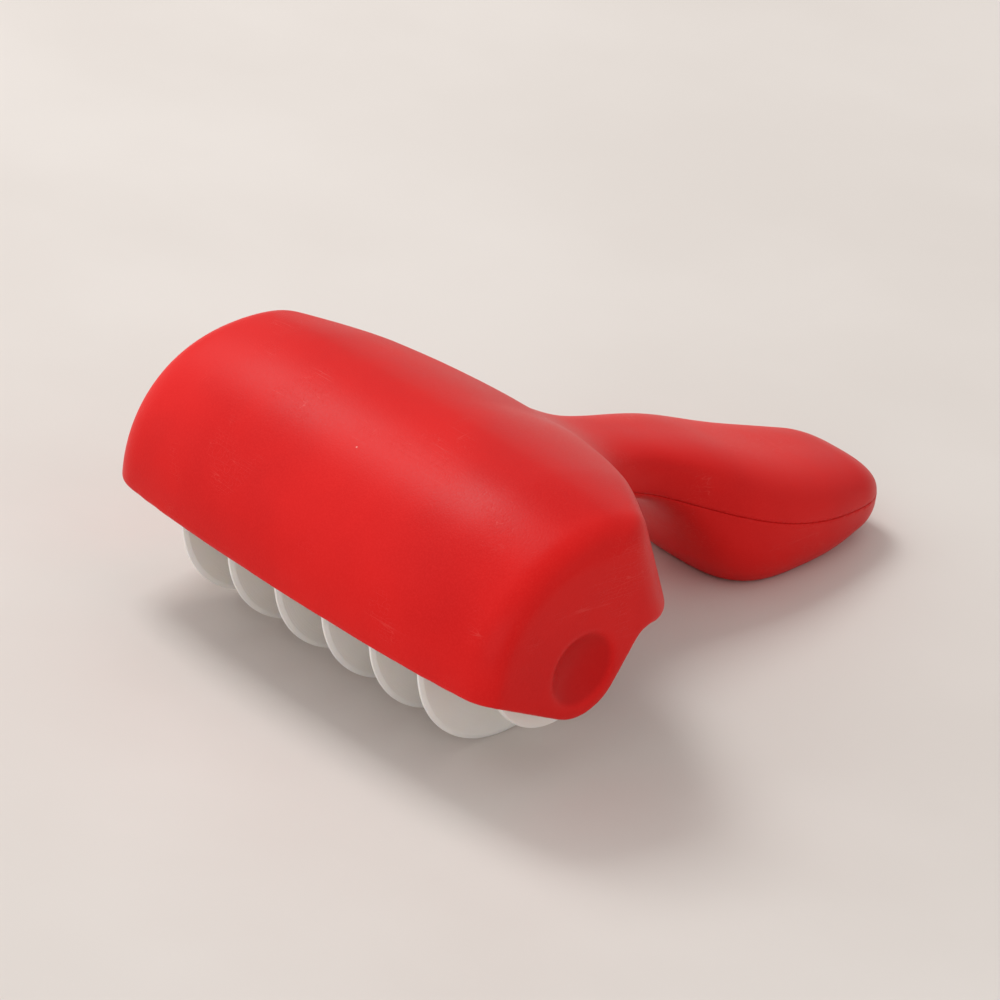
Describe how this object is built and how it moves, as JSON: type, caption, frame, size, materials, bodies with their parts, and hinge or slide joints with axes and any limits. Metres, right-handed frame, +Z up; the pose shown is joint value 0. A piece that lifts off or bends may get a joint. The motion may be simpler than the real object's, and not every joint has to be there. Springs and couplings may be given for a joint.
{
  "type": "hooded pastry strip cutter roller",
  "caption": "Hand roller with thin parallel cutting discs on one spindle, under an arched hood with a drooping grip, for cutting rolled dough into even strips.",
  "frame": {"origin": "on the resting surface, under the middle of the object's length and width", "axes": "+X along the roller's axis, +Y from the hood's front lip to the handle's end, +Z up"},
  "size_m": [0.1272, 0.1824, 0.0631],
  "materials": {
    "red_plastic": "satin moulded plastic",
    "white_plastic": "satin moulded plastic, slightly translucent"
  },
  "bodies": {
    "holder": {"hood_and_handle_top": "red_plastic", "handle_underside": "red_plastic"},
    "roller": {"core_tube": "white_plastic", "cutter_disc_1": "white_plastic", "cutter_disc_2": "white_plastic", "cutter_disc_3": "white_plastic", "cutter_disc_4": "white_plastic", "cutter_disc_5": "white_plastic", "cutter_disc_6": "white_plastic", "spacer_sleeve_1": "white_plastic", "spacer_sleeve_2": "white_plastic", "spacer_sleeve_3": "white_plastic", "spacer_sleeve_4": "white_plastic", "spacer_sleeve_5": "white_plastic", "end_sleeve_left": "white_plastic", "end_sleeve_right": "white_plastic", "end_cap_left": "white_plastic", "end_cap_right": "white_plastic"}
  },
  "joints": [
    {"name": "roller_spin", "type": "hinge", "parent": "holder", "child": "roller", "pos_m": [0, -0.05935, 0.0275], "axis": [1, 0, 0], "continuous": true}
  ]
}
